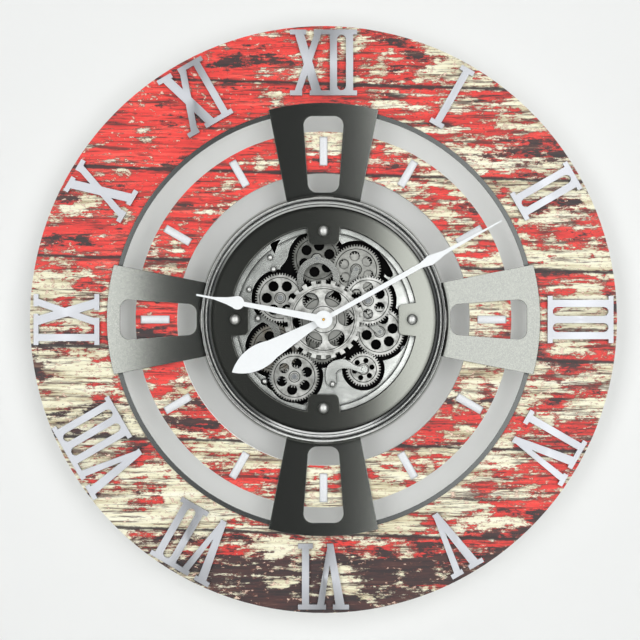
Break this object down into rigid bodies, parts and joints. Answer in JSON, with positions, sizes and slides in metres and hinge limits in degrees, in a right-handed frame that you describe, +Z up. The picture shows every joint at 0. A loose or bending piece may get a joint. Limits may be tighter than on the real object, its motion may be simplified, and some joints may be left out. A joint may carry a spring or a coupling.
{
  "type": "wall clock",
  "caption": "Round open-frame wall clock: printed board rings, raised steel numerals, steel brackets and a turning gear train behind three hands.",
  "frame": {"origin": "on the axis of the hands, in the plane of the wall, on the outer face of the case's back", "axes": "+Z up, +X right as seen from the front, -Y out of the wall towards the viewer"},
  "size_m": [0.5999, 0.0566, 0.6],
  "materials": {
    "printed_board": "satin print on board",
    "numeral_steel": "satin",
    "baton_steel": "satin",
    "bright_steel": "polished",
    "dark_sheet": "dark brushed",
    "bezel_steel": "polished dark",
    "silver_plate": "sparkling silver paint",
    "gear_steel": "turned",
    "gear_bronze": "dark bronze",
    "bridge_black": "semi-gloss black",
    "black_plastic": "fine grain",
    "post_steel": "turned",
    "brass_pin": "polished",
    "white_hand": "satin white paint",
    "grey_plastic": "fine grain",
    "cell_wrap": "plain wrap",
    "zinc_steel": "zinc plated"
  },
  "bodies": {
    "clock_frame": {"outer_ring": "printed_board", "inner_ring": "printed_board", "hour_batons": "baton_steel", "numeral_01": "numeral_steel", "numeral_02": "numeral_steel", "numeral_03": "numeral_steel", "numeral_04": "numeral_steel", "numeral_05": "numeral_steel", "numeral_06": "numeral_steel", "numeral_07": "numeral_steel", "numeral_08": "numeral_steel", "numeral_09": "numeral_steel", "numeral_10": "numeral_steel", "numeral_11": "numeral_steel", "numeral_12": "numeral_steel", "rim_hoop": "bright_steel", "bracket_top": "dark_sheet", "bracket_right": "dark_sheet", "bracket_bottom": "dark_sheet", "bracket_left": "dark_sheet", "ring_spacers": "zinc_steel", "dish_plate": "dark_sheet", "dish_screws": "bright_steel", "bezel": "bezel_steel", "gear_plate": "silver_plate", "plate_screws": "bright_steel", "horseshoe_bridge": "bridge_black", "twin_bridge": "bridge_black", "beak_cock": "bridge_black", "curved_bridge": "bridge_black", "gear_posts": "post_steel", "post_clips": "post_steel", "centre_post": "zinc_steel", "rear_case": "black_plastic", "floor_plate": "black_plastic", "floor_screws": "zinc_steel", "clock_movement": "black_plastic", "gear_motor": "grey_plastic", "battery_cells": "cell_wrap", "hanger_plate": "zinc_steel", "hanger_screws": "zinc_steel"},
    "centre_gears": {"centre_wheel": "gear_steel", "centre_fine_wheel": "gear_steel"},
    "gear_left_body": {"gear_left": "gear_steel"},
    "gear_right_body": {"gear_right": "gear_steel"},
    "gear_upper_right_body": {"gear_upper_right": "gear_steel"},
    "gear_lower_right_body": {"gear_lower_right": "gear_steel"},
    "gear_top_body": {"gear_top": "gear_steel"},
    "gear_bottom_right_body": {"gear_bottom_right": "gear_steel"},
    "gear_behind_centre_body": {"gear_behind_centre": "gear_steel"},
    "gear_bottom_left_body": {"gear_bottom_left": "gear_steel"},
    "gear_lower_left_body": {"gear_lower_left": "gear_bronze"},
    "motor_shaft": {"motor_pinion": "brass_pin"},
    "second_hand_body": {"second_hand": "white_hand"},
    "minute_hand_body": {"minute_hand": "white_hand"},
    "hour_hand_body": {"hour_hand": "white_hand"},
    "set_knob_body": {"set_knob": "grey_plastic"},
    "battery_door_body": {"battery_door": "grey_plastic"},
    "gear_switch_body": {"gear_switch": "grey_plastic"}
  },
  "joints": [
    {"name": "centre_gears_turn", "type": "hinge", "parent": "clock_frame", "child": "centre_gears", "pos_m": [0, -0.035, 0], "axis": [0, 1, 0], "continuous": true},
    {"name": "gear_left_turn", "type": "hinge", "parent": "clock_frame", "child": "gear_left_body", "pos_m": [-0.04434, -0.035, 0.02201], "axis": [0, 1, 0], "continuous": true},
    {"name": "gear_right_turn", "type": "hinge", "parent": "clock_frame", "child": "gear_right_body", "pos_m": [0.04553, -0.033, 0.01942], "axis": [0, 1, 0], "continuous": true},
    {"name": "gear_upper_right_turn", "type": "hinge", "parent": "clock_frame", "child": "gear_upper_right_body", "pos_m": [0.03344, -0.029, 0.05141], "axis": [0, 1, 0], "continuous": true},
    {"name": "gear_lower_right_turn", "type": "hinge", "parent": "clock_frame", "child": "gear_lower_right_body", "pos_m": [0.05762, -0.031, -0.01257], "axis": [0, 1, 0], "continuous": true},
    {"name": "gear_top_turn", "type": "hinge", "parent": "clock_frame", "child": "gear_top_body", "pos_m": [-0.00691, -0.027, 0.06253], "axis": [0, 1, 0], "continuous": true},
    {"name": "gear_bottom_right_turn", "type": "hinge", "parent": "clock_frame", "child": "gear_bottom_right_body", "pos_m": [0.04087, -0.031, -0.05092], "axis": [0, 1, 0], "continuous": true},
    {"name": "gear_behind_centre_turn", "type": "hinge", "parent": "clock_frame", "child": "gear_behind_centre_body", "pos_m": [-0.00151, -0.031, -0.02786], "axis": [0, 1, 0], "continuous": true},
    {"name": "gear_bottom_left_turn", "type": "hinge", "parent": "clock_frame", "child": "gear_bottom_left_body", "pos_m": [-0.02984, -0.029, -0.05866], "axis": [0, 1, 0], "continuous": true},
    {"name": "gear_lower_left_turn", "type": "hinge", "parent": "clock_frame", "child": "gear_lower_left_body", "pos_m": [-0.05093, -0.027, -0.03005], "axis": [0, 1, 0], "continuous": true},
    {"name": "motor_shaft_turn", "type": "hinge", "parent": "clock_frame", "child": "motor_shaft", "pos_m": [-0.05093, -0.026, -0.0602], "axis": [0, 1, 0], "continuous": true},
    {"name": "second_hand_turn", "type": "hinge", "parent": "clock_frame", "child": "second_hand_body", "pos_m": [0, -0.054, 0], "axis": [0, 1, 0], "continuous": true},
    {"name": "minute_hand_turn", "type": "hinge", "parent": "clock_frame", "child": "minute_hand_body", "pos_m": [0, -0.051, 0], "axis": [0, 1, 0], "continuous": true},
    {"name": "hour_hand_turn", "type": "hinge", "parent": "clock_frame", "child": "hour_hand_body", "pos_m": [0, -0.045, 0], "axis": [0, 1, 0], "continuous": true},
    {"name": "set_knob_turn", "type": "hinge", "parent": "clock_frame", "child": "set_knob_body", "pos_m": [0.015, -0.003, -0.015], "axis": [0, 1, 0], "continuous": true},
    {"name": "battery_door_lift", "type": "slide", "parent": "clock_frame", "child": "battery_door_body", "axis": [0, 1, 0], "range_m": [0, 0.025]},
    {"name": "gear_switch_slide", "type": "slide", "parent": "clock_frame", "child": "gear_switch_body", "axis": [1, 0, 0], "range_m": [0, 0.004]}
  ],
  "couplings": [
    {"joint": "gear_left_turn", "follows": "centre_gears_turn", "ratio": -1},
    {"joint": "gear_right_turn", "follows": "centre_gears_turn", "ratio": -1},
    {"joint": "gear_upper_right_turn", "follows": "centre_gears_turn", "ratio": 0.38182},
    {"joint": "gear_lower_right_turn", "follows": "centre_gears_turn", "ratio": 0.38182},
    {"joint": "gear_top_turn", "follows": "centre_gears_turn", "ratio": -0.2638},
    {"joint": "gear_bottom_right_turn", "follows": "centre_gears_turn", "ratio": -0.55263},
    {"joint": "gear_behind_centre_turn", "follows": "centre_gears_turn", "ratio": -0.63158},
    {"joint": "gear_bottom_left_turn", "follows": "centre_gears_turn", "ratio": 0.43636},
    {"joint": "gear_lower_left_turn", "follows": "centre_gears_turn", "ratio": -0.19041},
    {"joint": "motor_shaft_turn", "follows": "centre_gears_turn", "ratio": 0.87273},
    {"joint": "minute_hand_turn", "follows": "second_hand_turn", "ratio": 0.016667},
    {"joint": "hour_hand_turn", "follows": "second_hand_turn", "ratio": 0.0013889},
    {"joint": "set_knob_turn", "follows": "second_hand_turn", "ratio": 0.016667}
  ]
}
